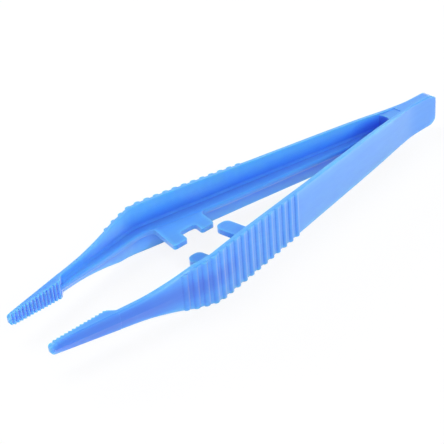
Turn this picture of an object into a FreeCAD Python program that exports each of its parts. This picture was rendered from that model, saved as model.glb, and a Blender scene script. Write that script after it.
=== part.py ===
# Plastic tweezers moulded in one piece, lying on their long edges.
# Sizes are in millimetres. X runs from the heel to the tips, Y across the two arms and Z up.
# While it is built the heel ends at X 0, the arms part at Y 0 and the mould parts at Z 0.
import FreeCAD, Part
import math
import os

Vector = FreeCAD.Vector

# Heel, where the two arms join
length = 145.0
heel_thickness = 3.3
heel_length = 11.4
heel_bend_reach = 3.0
heel_corner_radius = 4.5
web_setback = 1.4
web_length = 5.0
web_recess = 0.4
web_hollow = 1.2

# Course of the flat outer face of an arm, seen from above
splay_angle = 9.32
front_angle = 10.0
front_length = 44.1
grip_corner_reach = 1.6

# Width of an arm across its flat face, each with its distance from the web, grip corner or tip
heel_width = 9.6
root_width = 10.25
neck_distance, neck_width = 14.5, 11.55
waist_setback, waist_width = 38.6, 12.9
grip_setback, grip_width = 3.0, 14.4
shoulder_distance, shoulder_width = 5.4, 12.3
taper_distance, taper_width = 11.9, 8.9
slim_distance, slim_width = 19.9, 6.1
jaw_setback, jaw_width = 14.7, 4.9
tip_width = 3.15

# Wall of an arm
wall_thickness = 1.1
wall_root_thickness = 1.5
edge_chamfer = 0.25
ridge_height = 0.46
ridge_distance = 9.0
ridge_rise_length = 10.5

# Stiffening rib along the middle of an arm's inner side
rib_root_thickness = 2.1
rib_edge_thickness = 1.4
rib_edge_chamfer = 0.25
rib_root_fillet = 0.5
rib_heel_depth = 3.4
rib_back_distance, rib_back_depth = 25.5, 4.3
rib_deep_setback, rib_deep_depth = 20.6, 5.4
rib_fork_setback, rib_fork_depth = 2.1, 4.55
rib_front_distance, rib_front_depth = 7.9, 4.05
rib_jaw_depth = 2.4

# Cross ribs of the grip
grip_rib_count = 16
grip_rib_front_count = 3
grip_rib_pitch = 2.82
grip_rib_width = 1.75
grip_rib_height = 0.46
grip_rib_end_inset = 0.05
grip_rib_root = 0.3

# Jaw pad with its teeth
pad_length = 17.9
pad_ramp_length = 1.9
pad_rear_depth = 2.82
pad_tip_depth = 1.08
pad_skin = 0.03
pad_overlap = 3.0
pad_skirt = 1.0
tooth_count = 15
tooth_pitch = 1.077
tooth_width = 0.98
tooth_depth = 0.42
tooth_spill = 0.2
first_tooth_inset = 1.15
tip_corner_radius = 1.5
tip_back_radius = 0.9
tip_face_radius = 0.5

# Fork plate on the far arm, its sides placed where they would meet the middle
fork_setback = 1.85
fork_length = 13.85
fork_thickness = 1.3
rear_prong_width = 4.2
front_prong_width = 4.5
rear_prong_half_gap = 1.7
front_prong_half_gap = 1.2
notch_half_gap = 5.05
prong_corner_radius = 0.7
notch_corner_radius = 0.9
fork_root_radius = 1.2
fork_root_reach = 2.2
fork_root_depth = 1.5
fork_root_sink = 0.1

# Guide tongues on the near arm, one passing over the fork's rear prong and one under its front prong
tongue_width = 4.5
tongue_end_radius = 1.7
tongue_root_depth = 0.6
tongue_step_setback = 0.4
rear_tongue_half_gap = 2.9
rear_tongue_clearance = 1.3
rear_tongue_thickness = 1.5
front_tongue_half_gap = 2.45
front_tongue_clearance = 0.85
front_tongue_thickness = 3.75

# Spacing of the sections that the arms are lofted through, and room for cutting past a face
long_step = 7.5
short_step = 2.8
bend_section_count = 5
pad_section_count = 5
least_section_count = 4
slack = 0.02
margin = 1.0
reach = 30.0

# Places along the arm that follow from those sizes
bend_end = heel_length + heel_bend_reach
web_start = bend_end + web_setback
web_end = web_start + web_length
grip_corner = length - front_length
pad_start = length - pad_length
pad_ramp_end = pad_start + pad_ramp_length
fork_front = grip_corner - fork_setback
fork_rear = fork_front - fork_length
splay_slope = math.tan(math.radians(splay_angle))
front_slope = -math.tan(math.radians(front_angle))


def curve_through(points, x):
    # Smooth curve through (place, value) points that never swings past them
    if x <= points[0][0]:
        return points[0][1]
    if x >= points[-1][0]:
        return points[-1][1]
    last = len(points) - 1
    steps = [points[i + 1][0] - points[i][0] for i in range(last)]
    slopes = [(points[i + 1][1] - points[i][1]) / steps[i] for i in range(last)]
    tangents = [slopes[0]]
    for i in range(1, last):
        before, after = slopes[i - 1], slopes[i]
        if before * after <= 0:
            tangents.append(0.0)
        else:
            weight = 2 * steps[i] + steps[i - 1]
            other = steps[i] + 2 * steps[i - 1]
            tangents.append((weight + other) / (weight / before + other / after))
    tangents.append(slopes[-1])
    i = max(j for j in range(last) if points[j][0] <= x)
    t = (x - points[i][0]) / steps[i]
    return (points[i][1] * (1 + 2 * t) * (1 - t) ** 2
            + tangents[i] * steps[i] * t * (1 - t) ** 2
            + points[i + 1][1] * t * t * (3 - 2 * t)
            + tangents[i + 1] * steps[i] * t * t * (t - 1))


def bend(x, corner, corner_reach, slope):
    # Rise past a corner that is rounded off over its reach on both sides
    run = x - corner
    if run <= -corner_reach:
        return 0.0
    if run >= corner_reach:
        return slope * run
    return slope * (run + corner_reach) ** 2 / (4 * corner_reach)


def outer_face(x):
    # Distance of the flat outer face from the middle between the arms
    heel_bend = bend(x, heel_length, heel_bend_reach, splay_slope)
    grip_bend = bend(x, grip_corner, grip_corner_reach, front_slope - splay_slope)
    return heel_thickness / 2 + heel_bend + grip_bend


def half_width(x):
    widths = [(0.0, heel_width), (web_start, root_width), (web_start + neck_distance, neck_width),
              (grip_corner - waist_setback, waist_width), (grip_corner - grip_setback, grip_width),
              (grip_corner + shoulder_distance, shoulder_width), (grip_corner + taper_distance, taper_width),
              (grip_corner + slim_distance, slim_width), (length - jaw_setback, jaw_width),
              (length, tip_width)]
    return curve_through(widths, x) / 2


def rib_edge(x):
    # Distance of the rib's inner edge from the middle between the arms
    depths = [(web_start, rib_heel_depth), (web_start + rib_back_distance, rib_back_depth),
              (grip_corner - rib_deep_setback, rib_deep_depth),
              (grip_corner - rib_fork_setback, rib_fork_depth),
              (grip_corner + rib_front_distance, rib_front_depth),
              (pad_start + pad_overlap, rib_jaw_depth)]
    return outer_face(x) - curve_through(depths, x)


def ridge(x):
    # Height of the low ridge that the outer face has in front of the grip
    start = grip_corner + ridge_distance
    full = start + ridge_rise_length
    return curve_through([(start, 0.0), (full, ridge_height), (length, ridge_height)], x)


def pad_face(x):
    # Distance of the jaw's inner face from the middle, set by its depth under the outer face
    slope = (pad_rear_depth - pad_tip_depth) / (length - pad_ramp_end)
    return outer_face(x) - pad_tip_depth - slope * (length - x)


def bezier(x, poles):
    curve = Part.BezierCurve()
    curve.setPoles([Vector(x, y, z) for y, z in poles])
    return curve.toShape()


def below(poles):
    return [(y, -z) for y, z in reversed(poles)]


def section(x, upper, ridged):
    # Closed section from the chains of its upper half, going inwards from the outer face
    start = upper[0][0]
    end = upper[-1][-1]
    edges = [bezier(x, below([start]) + [start])]
    if ridged:
        crest = (start[0] + ridge(x), 0.0)
        edges = [bezier(x, below([start]) + [crest]), bezier(x, [crest, start])]
    edges += [bezier(x, poles) for poles in upper]
    edges.append(bezier(x, [end] + below([end])))
    edges += [bezier(x, below(poles)) for poles in reversed(upper)]
    return Part.Wire(edges)


def solid_section(x, face, half, inner, ridged):
    edge = [(face, half - edge_chamfer), (face - edge_chamfer, half)]
    return section(x, [edge, [edge[-1], (inner, half)]], ridged)


def heel_section(x):
    return solid_section(x, outer_face(x), half_width(x), 0.0, False)


def pad_section(x):
    # A little larger than the arm, so that the two never share a face
    inner = pad_face(x) - pad_skirt
    return solid_section(x, outer_face(x) + pad_skin, half_width(x) + pad_skin, inner, True)


def wall_section(x, ridged):
    # The wall with its rib, like a T
    half = half_width(x)
    face = outer_face(x)
    wall_root = face - wall_root_thickness
    root = rib_root_thickness / 2
    edge = rib_edge_thickness / 2
    draft = (root - edge) / (wall_root - rib_edge(x))
    long_edge = [(face, half - edge_chamfer), (face - edge_chamfer, half)]
    side = [long_edge[-1], (face - wall_thickness, half)]
    rib_root = [(wall_root, root + rib_root_fillet),
                (wall_root - rib_root_fillet, root - draft * rib_root_fillet)]
    rib_end = [(rib_edge(x) + rib_edge_chamfer, edge + draft * rib_edge_chamfer),
               (rib_edge(x), edge - rib_edge_chamfer)]
    chains = [long_edge, side, [side[-1], rib_root[0]], rib_root, [rib_root[-1], rib_end[0]], rib_end]
    return section(x, chains, ridged)


def rear_section(x):
    return wall_section(x, False)


def front_section(x):
    return wall_section(x, True)


def loft(make_section, places):
    return Part.makeLoft([make_section(x) for x in places], True, False, False, 3)


def spread(start, end, count):
    return [start + (end - start) * i / (count - 1) for i in range(count)]


def stepped(start, end, step):
    return spread(start, end, max(least_section_count, math.ceil((end - start) / step) + 1))


def rounded_outline(corners):
    # Closed outline in plan from (x, y, radius) corners
    points = [Vector(x, y, 0) for x, y, radius in corners]
    count = len(points)
    starts = []
    crowns = []
    ends = []
    for i in range(count):
        radius = corners[i][2]
        back = (points[i - 1] - points[i]).normalize()
        ahead = (points[(i + 1) % count] - points[i]).normalize()
        half_angle = back.getAngle(ahead) / 2
        starts.append(points[i] + back * (radius / math.tan(half_angle)))
        ends.append(points[i] + ahead * (radius / math.tan(half_angle)))
        crowns.append(points[i] + (back + ahead).normalize() * (radius / math.sin(half_angle) - radius))
    edges = []
    for i in range(count):
        if corners[i][2] > 0:
            edges.append(Part.Arc(starts[i], crowns[i], ends[i]).toShape())
        edges.append(Part.makeLine(ends[i], starts[(i + 1) % count]))
    return Part.Wire(edges)


def plan_prism(corners, bottom, top):
    # Solid with a plan outline between two heights
    face = Part.Face(rounded_outline(corners))
    face.translate(Vector(0, 0, bottom))
    return face.extrude(Vector(0, 0, top - bottom))


def square_place(place, y):
    # Where a side that stands square on the arm is at this distance from the middle
    return place - y * splay_slope


def rib_foot(place):
    # Where such a side leaves the rib's inner edge
    y = rib_edge(place)
    for turn in range(6):
        y = rib_edge(square_place(place, y))
    return square_place(place, y), y


def tooth_cuts():
    cuts = []
    side = tooth_width / 2 * (1 + tooth_spill / tooth_depth)
    for i in range(tooth_count):
        x = length - first_tooth_inset - i * tooth_pitch
        y = pad_face(x)
        corners = [(x - side, y - tooth_spill, 0), (x + side, y - tooth_spill, 0), (x, y + tooth_depth, 0)]
        cuts.append(plan_prism(corners, -reach, reach))
    return cuts


def jaw_pad():
    block = loft(pad_section, spread(pad_start, length, pad_section_count))
    ramp_start = outer_face(pad_start) - wall_thickness
    behind = pad_start - margin
    beyond = length + margin
    space = plan_prism([(behind, 0.0, 0), (beyond, 0.0, 0), (beyond, pad_face(beyond), 0),
                        (pad_ramp_end, pad_face(pad_ramp_end), 0), (pad_start, ramp_start, 0),
                        (behind, ramp_start, 0)], -reach, reach)
    return block.cut([space] + tooth_cuts())


def arm_body():
    corner_start = grip_corner - grip_corner_reach
    corner_end = grip_corner + grip_corner_reach
    bend_start = heel_length - heel_bend_reach
    heel_bend = spread(bend_start, bend_end, bend_section_count)
    heel = loft(heel_section, [0.0, bend_start / 2] + heel_bend + [web_start])
    rear = loft(rear_section, stepped(web_start, corner_start, long_step))
    corner = loft(rear_section, spread(corner_start, corner_end, bend_section_count))
    front = loft(front_section, stepped(corner_end, pad_start + pad_overlap, short_step))
    return heel.fuse([rear, corner, front, jaw_pad()])


def web():
    # Fills the gap behind the arms, a little below their long edges
    top = half_width(web_end) - web_recess
    behind = web_start - margin
    ahead = web_end + web_hollow
    rear_half = outer_face(behind) - wall_thickness / 2
    front_half = outer_face(ahead) - wall_thickness / 2
    corners = [Vector(ahead, -front_half, -top), Vector(behind, -rear_half, -top),
               Vector(behind, rear_half, -top), Vector(ahead, front_half, -top)]
    hollow = Part.Arc(corners[3], Vector(web_end, 0, -top), corners[0]).toShape()
    face = Part.Face(Part.Wire([Part.makeLine(corners[i], corners[i + 1]) for i in range(3)] + [hollow]))
    return face.extrude(Vector(0, 0, 2 * top))


def grip_ribs():
    ribs = []
    side = grip_rib_width / 2
    corners = [Vector(-side, 0, 0), Vector(-side, -grip_rib_root, 0),
               Vector(side, -grip_rib_root, 0), Vector(side, 0, 0)]
    rounding = Part.Arc(corners[3], Vector(0, grip_rib_height, 0), corners[0]).toShape()
    bar = Part.Face(Part.Wire([Part.makeLine(corners[i], corners[i + 1]) for i in range(3)] + [rounding]))
    for i in range(grip_rib_count):
        along = (grip_rib_front_count - i) * grip_rib_pitch
        turn = splay_angle
        if along > 0:
            turn = -front_angle
        if along == 0:
            turn = (splay_angle - front_angle) / 2
        x = grip_corner + along * math.cos(math.radians(turn))
        half = min(half_width(x - side), half_width(x + side)) - grip_rib_end_inset
        rib = bar.extrude(Vector(0, 0, 2 * half))
        rib.rotate(Vector(0, 0, 0), Vector(0, 0, 1), turn)
        rib.translate(Vector(x, outer_face(x), -half))
        ribs.append(rib)
    return ribs


def corner_cut(corner, inward, outward, along, radius):
    # What lies outside a rounded corner that runs along a direction
    corner = corner + (outward - inward) * slack
    start = corner - outward * radius
    end = corner + inward * radius
    crown = corner + (inward - outward) * (radius * (1 - math.sqrt(0.5)))
    outline = [end, end + outward, corner + outward - inward, start - inward, start]
    edges = [Part.makeLine(outline[i], outline[i + 1]) for i in range(4)]
    edges.append(Part.Arc(start, crown, end).toShape())
    face = Part.Face(Part.Wire(edges))
    face.translate(along * -reach)
    return face.extrude(along * (2 * reach))


def end_cuts():
    # Everything outside the rounded heel and the rounded tip
    forward = Vector(1, 0, 0)
    sideways = Vector(0, 1, 0)
    upwards = Vector(0, 0, 1)
    tip_outside = outer_face(length) + ridge_height
    cuts = [corner_cut(Vector(0, heel_thickness / 2, 0), forward, sideways, upwards, heel_thickness / 2),
            corner_cut(Vector(length, tip_outside, 0), -forward, sideways, upwards, tip_back_radius),
            corner_cut(Vector(length, pad_face(length), 0), -forward, -sideways, upwards, tip_face_radius)]
    for side in (upwards, -upwards):
        heel_corner = side * half_width(heel_corner_radius)
        tip_corner = forward * length + side * half_width(length)
        cuts.append(corner_cut(heel_corner, forward, side, sideways, heel_corner_radius))
        cuts.append(corner_cut(tip_corner, -forward, side, sideways, tip_corner_radius))
    return cuts


def fork():
    # Plate with two prongs, drawn on the near side and turned over to the far arm
    rear_x, rear_y = rib_foot(fork_rear)
    front_x, front_y = rib_foot(fork_front)
    notch_rear = fork_rear + rear_prong_width
    notch_front = fork_front - front_prong_width
    rear_root = rear_x - fork_root_reach
    front_root = front_x + fork_root_reach
    corners = [(rear_root, rib_edge(rear_root) + fork_root_depth, 0),
               (rear_root, rib_edge(rear_root) + fork_root_sink, 0),
               (rear_x, rear_y, fork_root_radius),
               (square_place(fork_rear, rear_prong_half_gap), rear_prong_half_gap, prong_corner_radius),
               (square_place(notch_rear, rear_prong_half_gap), rear_prong_half_gap, prong_corner_radius),
               (square_place(notch_rear, notch_half_gap), notch_half_gap, notch_corner_radius),
               (square_place(notch_front, notch_half_gap), notch_half_gap, notch_corner_radius),
               (square_place(notch_front, front_prong_half_gap), front_prong_half_gap, prong_corner_radius),
               (square_place(fork_front, front_prong_half_gap), front_prong_half_gap, prong_corner_radius),
               (front_x, front_y, fork_root_radius),
               (front_root, rib_edge(front_root) + fork_root_sink, 0),
               (front_root, rib_edge(front_root) + fork_root_depth, 0)]
    plate = plan_prism(corners, -fork_thickness / 2, fork_thickness / 2)
    return plate.mirror(Vector(0, 0, 0), Vector(0, 1, 0))


def tongue(place, half_gap, clearance, thickness):
    # Tab that reaches past the rib above the fork plate, standing on the rib at its root
    rear = place - tongue_width / 2
    front = place + tongue_width / 2
    root = outer_face(place) - tongue_root_depth
    underside = fork_thickness / 2 + clearance
    rounding = min(tongue_end_radius, tongue_width * 0.45)
    corners = [(square_place(rear, root), root, 0),
               (square_place(rear, half_gap), half_gap, rounding),
               (square_place(front, half_gap), half_gap, rounding),
               (square_place(front, root), root, 0)]
    tab = plan_prism(corners, 0.0, underside + thickness)
    foot_x, foot_y = rib_foot(place)
    room = Part.makeBox(2 * reach, reach, 2 * underside,
                        Vector(foot_x - reach, foot_y + tongue_step_setback - reach, -underside))
    return tab.cut(room)


def tweezers():
    half = arm_body().fuse([web()] + grip_ribs()).cut(end_cuts())
    near_side = Part.makeBox(length + 2 * margin, reach, 2 * reach, Vector(-margin, 0.0, -reach))
    half = half.common(near_side)
    rear_tongue = tongue(fork_rear + rear_prong_width / 2, rear_tongue_half_gap,
                         rear_tongue_clearance, rear_tongue_thickness)
    front_tongue = tongue(fork_front - front_prong_width / 2, front_tongue_half_gap,
                          front_tongue_clearance, front_tongue_thickness)
    body = half.fuse([half.mirror(Vector(0, 0, 0), Vector(0, 1, 0)), fork(), rear_tongue,
                      front_tongue.mirror(Vector(0, 0, 0), Vector(0, 0, 1))])
    return body.removeSplitter()


def main():
    os.makedirs("parts", exist_ok=True)
    shape = tweezers()
    box = shape.optimalBoundingBox(False)
    shape.translate(Vector(-length / 2, 0, -box.ZMin))
    print("valid", shape.isValid(), "solids", len(shape.Solids), "volume", round(shape.Volume, 1))
    print("box", round(box.XLength, 3), round(box.YLength, 3), round(box.ZLength, 3))
    shape.exportStep("parts/tweezers.step")


main()
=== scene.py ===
# Blue plastic tweezers lying on their long edges, seen from the tips.
import math
import bmesh
import bpy
from mathutils import Matrix, Vector

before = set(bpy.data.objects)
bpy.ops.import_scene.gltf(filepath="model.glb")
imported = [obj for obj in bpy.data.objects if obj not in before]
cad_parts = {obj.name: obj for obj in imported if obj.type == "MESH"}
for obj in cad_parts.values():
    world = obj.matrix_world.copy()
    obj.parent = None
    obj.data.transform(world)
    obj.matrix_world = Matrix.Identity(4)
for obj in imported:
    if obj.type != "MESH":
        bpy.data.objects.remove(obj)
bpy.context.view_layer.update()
print("stage: frame loaded")


def newMaterial(name):
    material = bpy.data.materials.new(name)
    material.use_nodes = True
    return material, material.node_tree.nodes, material.node_tree.links


def calc(material, operation, first, second=0.0, third=0.0):
    node = material.node_tree.nodes.new("ShaderNodeMath")
    node.operation = operation
    for slot, value in enumerate((first, second, third)):
        if isinstance(value, float):
            node.inputs[slot].default_value = value
        else:
            material.node_tree.links.new(value, node.inputs[slot])
    return node.outputs[0]


def spread(material, value, low, high):
    # 0 at low and 1 at high, with soft ends
    node = material.node_tree.nodes.new("ShaderNodeMapRange")
    node.interpolation_type = "SMOOTHSTEP"
    node.inputs["From Min"].default_value = low
    node.inputs["From Max"].default_value = high
    material.node_tree.links.new(value, node.inputs["Value"])
    return node.outputs["Result"]


def nearness(material, inside, distance):
    # How open a point is to the air, or with inside, how much plastic lies behind it
    node = material.node_tree.nodes.new("ShaderNodeAmbientOcclusion")
    node.inside = inside
    node.only_local = True
    node.samples = 6
    node.inputs["Distance"].default_value = distance
    return node.outputs["AO"]


def noise(material, scale, detail, stretch=1.0):
    # Stretch draws the pattern out along the arms
    place = material.node_tree.nodes.new("ShaderNodeTexCoord")
    mapping = material.node_tree.nodes.new("ShaderNodeMapping")
    mapping.inputs["Scale"].default_value = (1.0 / stretch, 1.0, 1.0)
    node = material.node_tree.nodes.new("ShaderNodeTexNoise")
    node.inputs["Scale"].default_value = scale
    node.inputs["Detail"].default_value = detail
    material.node_tree.links.new(place.outputs["Object"], mapping.inputs["Vector"])
    material.node_tree.links.new(mapping.outputs["Vector"], node.inputs["Vector"])
    return node.outputs["Fac"]


# The moulded plastic, in metres. A pair says where a change starts and where it is full.
plastic = {
    "deepAndShadeColour": (0.03, 0.155, 0.76),
    "plainColour": (0.06, 0.33, 0.9),
    "thinAndPaintedLightColour": (0.14, 0.54, 1.0),
    "baseLevel": 0.4,  # on the ramp of the three colours, from 0 deep to 1 thin
    # The next four strengths paint light and shade into the base colour
    "paintedCreviceShade": 0.55,
    "paintedThinEdgeLight": 0.35,
    "paintedWallLight": 0.45,
    "thickFrontDepthAndShade": 0.36,
    "clouds": 0.12,
    "cloudScale": 90.0,
    "flowMarks": 0.16,
    "flowScale": 1400.0,
    "flowStretch": 40.0,
    "middleHeight": 0.00719,
    "faceTurn": 0.002,
    "wallRise": (0.0015, 0.006),
    "frontPart": (0.012, 0.032),
    "frontMiddle": (0.0042, 0.0005),
    "airReach": 0.007,
    "airShare": (0.45, 0.95),
    "wallReach": 0.0014,
    "wallShare": (0.3, 0.9),
    "roughness": 0.28,
    "refraction": 1.5,
    "coat": 0.5,
    "coatRoughness": 0.2,
    "sheen": 0.35,
    "sheenRoughness": 0.5,
    "scatterShare": 0.7,
    "scatterDepth": 0.002,
    "scatterColour": (0.25, 0.6, 1.0),
    "edgeRadius": 0.00012,
    "grainScale": 2600.0,
    "grainDepth": 0.00004,
    "grainStrength": 0.1,
}


def plasticColourWithPaintedLight(material):
    # Base colour with painted light and shade: painted light at thin edges and on the inner walls,
    # painted shade in crevices, and a deeper colour in thick places that is partly the plastic's own and
    # partly painted shade
    nodes, links = material.node_tree.nodes, material.node_tree.links
    place = nodes.new("ShaderNodeTexCoord")
    spot = nodes.new("ShaderNodeSeparateXYZ")
    links.new(place.outputs["Object"], spot.inputs[0])
    facing = nodes.new("ShaderNodeSeparateXYZ")
    links.new(place.outputs["Normal"], facing.inputs[0])
    # Below 0 on a face that looks between the arms, above 0 on one that looks away
    side = calc(material, "MULTIPLY", spot.outputs["Y"], facing.outputs["Y"])
    inner = spread(material, side, 0.0, -plastic["faceTurn"])
    outer = spread(material, side, 0.0, plastic["faceTurn"])
    height = calc(material, "SUBTRACT", spot.outputs["Z"], plastic["middleHeight"])
    height = calc(material, "ABSOLUTE", height)
    rise = spread(material, height, *plastic["wallRise"])
    middle = spread(material, height, *plastic["frontMiddle"])
    front = spread(material, spot.outputs["X"], *plastic["frontPart"])
    # Painted shade: the base colour goes darker where nearby plastic shuts a point in, in crevices and
    # at the roots of the ribs
    openness = spread(material, nearness(material, False, plastic["airReach"]), *plastic["airShare"])
    # Painted light: thin places in the plastic are made lighter, as if light shone through them
    thick = spread(material, nearness(material, True, plastic["wallReach"]), *plastic["wallShare"])
    # Painted light and shade: the inner walls are made lighter away from the rib and darker at its root
    painted_wall_light = calc(material, "MULTIPLY", inner, rise)
    # The outer front faces go deeper in the middle over thick plastic, partly the plastic's own deeper
    # colour and partly painted shade
    deep = calc(material, "MULTIPLY", calc(material, "MULTIPLY", outer, front), thick)
    deep = calc(material, "MULTIPLY", deep, middle)
    clouds = noise(material, plastic["cloudScale"], 3.0)
    flow = noise(material, plastic["flowScale"], 2.0, plastic["flowStretch"])
    level = calc(material, "MULTIPLY_ADD", clouds, plastic["clouds"], plastic["baseLevel"])
    level = calc(material, "MULTIPLY_ADD", flow, plastic["flowMarks"], level)
    # The clouds and flow marks are the plastic's own tone, and the rest adds painted light and shade
    level = calc(material, "ADD", level, plastic["paintedThinEdgeLight"] - plastic["paintedCreviceShade"])
    level = calc(material, "MULTIPLY_ADD", openness, plastic["paintedCreviceShade"], level)
    level = calc(material, "MULTIPLY_ADD", thick, -plastic["paintedThinEdgeLight"], level)
    level = calc(material, "MULTIPLY_ADD", painted_wall_light, plastic["paintedWallLight"], level)
    level = calc(material, "MULTIPLY_ADD", deep, -plastic["thickFrontDepthAndShade"], level)
    tint = nodes.new("ShaderNodeValToRGB")
    tint.color_ramp.elements[0].position = 0.0
    tint.color_ramp.elements[0].color = (*plastic["deepAndShadeColour"], 1.0)
    tint.color_ramp.elements[1].position = 1.0
    tint.color_ramp.elements[1].color = (*plastic["thinAndPaintedLightColour"], 1.0)
    plain = tint.color_ramp.elements.new(0.5)
    plain.color = (*plastic["plainColour"], 1.0)
    links.new(level, tint.inputs["Fac"])
    return tint.outputs["Color"]


def plasticMaterial():
    material, nodes, links = newMaterial("blue_plastic_look")
    shader = nodes["Principled BSDF"]
    links.new(plasticColourWithPaintedLight(material), shader.inputs["Base Color"])
    soft = nodes.new("ShaderNodeBevel")
    soft.samples = 4
    soft.inputs["Radius"].default_value = plastic["edgeRadius"]
    bump = nodes.new("ShaderNodeBump")
    bump.inputs["Strength"].default_value = plastic["grainStrength"]
    bump.inputs["Distance"].default_value = plastic["grainDepth"]
    links.new(noise(material, plastic["grainScale"], 2.0), bump.inputs["Height"])
    links.new(soft.outputs["Normal"], bump.inputs["Normal"])
    links.new(bump.outputs["Normal"], shader.inputs["Normal"])
    shader.inputs["Roughness"].default_value = plastic["roughness"]
    shader.inputs["IOR"].default_value = plastic["refraction"]
    shader.inputs["Coat Weight"].default_value = plastic["coat"]
    shader.inputs["Coat Roughness"].default_value = plastic["coatRoughness"]
    shader.inputs["Sheen Weight"].default_value = plastic["sheen"]
    shader.inputs["Sheen Roughness"].default_value = plastic["sheenRoughness"]
    shader.inputs["Subsurface Weight"].default_value = plastic["scatterShare"]
    shader.inputs["Subsurface Radius"].default_value = plastic["scatterColour"]
    shader.inputs["Subsurface Scale"].default_value = plastic["scatterDepth"]
    return material


def dressTweezers():
    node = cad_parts["tweezers"]
    node.data.materials.clear()
    node.data.materials.append(plasticMaterial())


floor = {
    "halfWidth": 1.1,  # ends in front of the two low lamps
    "colour": (0.95, 0.95, 0.96, 1.0),
    "roughness": 0.9,
    "glow": 0.88,
}


def floorMaterial():
    # Lit like paper, and brighter to the camera and in reflections, so that its shadow is faint
    material, nodes, links = newMaterial("white_floor_look")
    shader = nodes["Principled BSDF"]
    shader.inputs["Base Color"].default_value = floor["colour"]
    shader.inputs["Roughness"].default_value = floor["roughness"]
    shader.inputs["Specular IOR Level"].default_value = 0.0
    glow = nodes.new("ShaderNodeEmission")
    glow.inputs["Strength"].default_value = 1.0
    ray = nodes.new("ShaderNodeLightPath")
    seen = calc(material, "MAXIMUM", ray.outputs["Is Camera Ray"], ray.outputs["Is Glossy Ray"])
    mix = nodes.new("ShaderNodeMixShader")
    links.new(calc(material, "MULTIPLY", seen, floor["glow"]), mix.inputs[0])
    links.new(shader.outputs[0], mix.inputs[1])
    links.new(glow.outputs[0], mix.inputs[2])
    links.new(mix.outputs[0], nodes["Material Output"].inputs["Surface"])
    return material


def buildFloor():
    sheet = bmesh.new()
    bmesh.ops.create_grid(sheet, x_segments=1, y_segments=1, size=floor["halfWidth"])
    mesh = bpy.data.meshes.new("studio_floor")
    sheet.to_mesh(mesh)
    sheet.free()
    mesh.materials.append(floorMaterial())
    piece = bpy.data.objects.new("studio_floor", mesh)
    bpy.context.scene.collection.objects.link(piece)


# Each lamp has its azimuth, from the tips towards the arm with the tongues, its elevation and power
light = {
    "skyStrength": 0.25,
    "lampDistance": 1.2,
    "lampSize": 0.87,
    "lamps": {
        "behind_heel_lamp": (180.0, 10.0, 12.0),
        "behind_far_arm_lamp": (270.0, 10.0, 10.0),
        "front_lamp": (67.0, 35.0, 7.5),
        "overhead_lamp": (300.0, 62.0, 6.5),
    },
}


def buildSky():
    # White to the camera, and weaker as light
    world = bpy.data.worlds.new("studio_world")
    bpy.context.scene.world = world
    world.use_nodes = True
    nodes, links = world.node_tree.nodes, world.node_tree.links
    background = nodes["Background"]
    background.inputs["Color"].default_value = (1.0, 1.0, 1.0, 1.0)
    ray = nodes.new("ShaderNodeLightPath")
    mix = nodes.new("ShaderNodeMix")
    mix.data_type = "FLOAT"
    mix.inputs["A"].default_value = light["skyStrength"]
    mix.inputs["B"].default_value = 1.0
    links.new(ray.outputs["Is Camera Ray"], mix.inputs["Factor"])
    links.new(mix.outputs["Result"], background.inputs["Strength"])


def addLamp(name, azimuth, elevation, power):
    turn, rise = math.radians(azimuth), math.radians(elevation)
    towards = Vector((math.cos(turn) * math.cos(rise), math.sin(turn) * math.cos(rise), math.sin(rise)))
    data = bpy.data.lights.new(name, "AREA")
    data.shape = "DISK"
    data.size = light["lampSize"]
    data.energy = power
    lamp = bpy.data.objects.new(name, data)
    lamp.location = towards * light["lampDistance"]
    lamp.rotation_euler = (-towards).to_track_quat("-Z", "Y").to_euler()
    bpy.context.scene.collection.objects.link(lamp)


# Place in metres, angles in radians
camera = {
    "place": Vector((0.19783, 0.21947, 0.19693)),
    "turn": math.pi - 0.7048,
    "dip": 0.5801,
    "roll": -0.0797,
    "focalPixels": 1348.3,
    "photoPixels": 444,
    "sensorMillimetres": 36.0,
}


def placeCamera():
    data = bpy.data.cameras.new("photo_camera")
    data.sensor_width = camera["sensorMillimetres"]
    data.lens = camera["focalPixels"] / camera["photoPixels"] * data.sensor_width
    data.clip_start = 0.01
    data.clip_end = 20.0
    viewer = bpy.data.objects.new("photo_camera", data)
    place = Matrix.Translation(camera["place"])
    turn = Matrix.Rotation(camera["turn"], 4, "Z") @ Matrix.Rotation(math.pi / 2 - camera["dip"], 4, "X")
    roll = Matrix.Rotation(camera["roll"], 4, "Z")
    viewer.matrix_world = place @ turn @ roll
    bpy.context.scene.collection.objects.link(viewer)
    bpy.context.scene.camera = viewer


dressTweezers()
print("stage: tweezers dressed")
buildFloor()
buildSky()
for name, (azimuth, elevation, power) in light["lamps"].items():
    addLamp(name, azimuth, elevation, power)
placeCamera()
bpy.context.scene.view_settings.view_transform = "Standard"
print("stage: studio set")
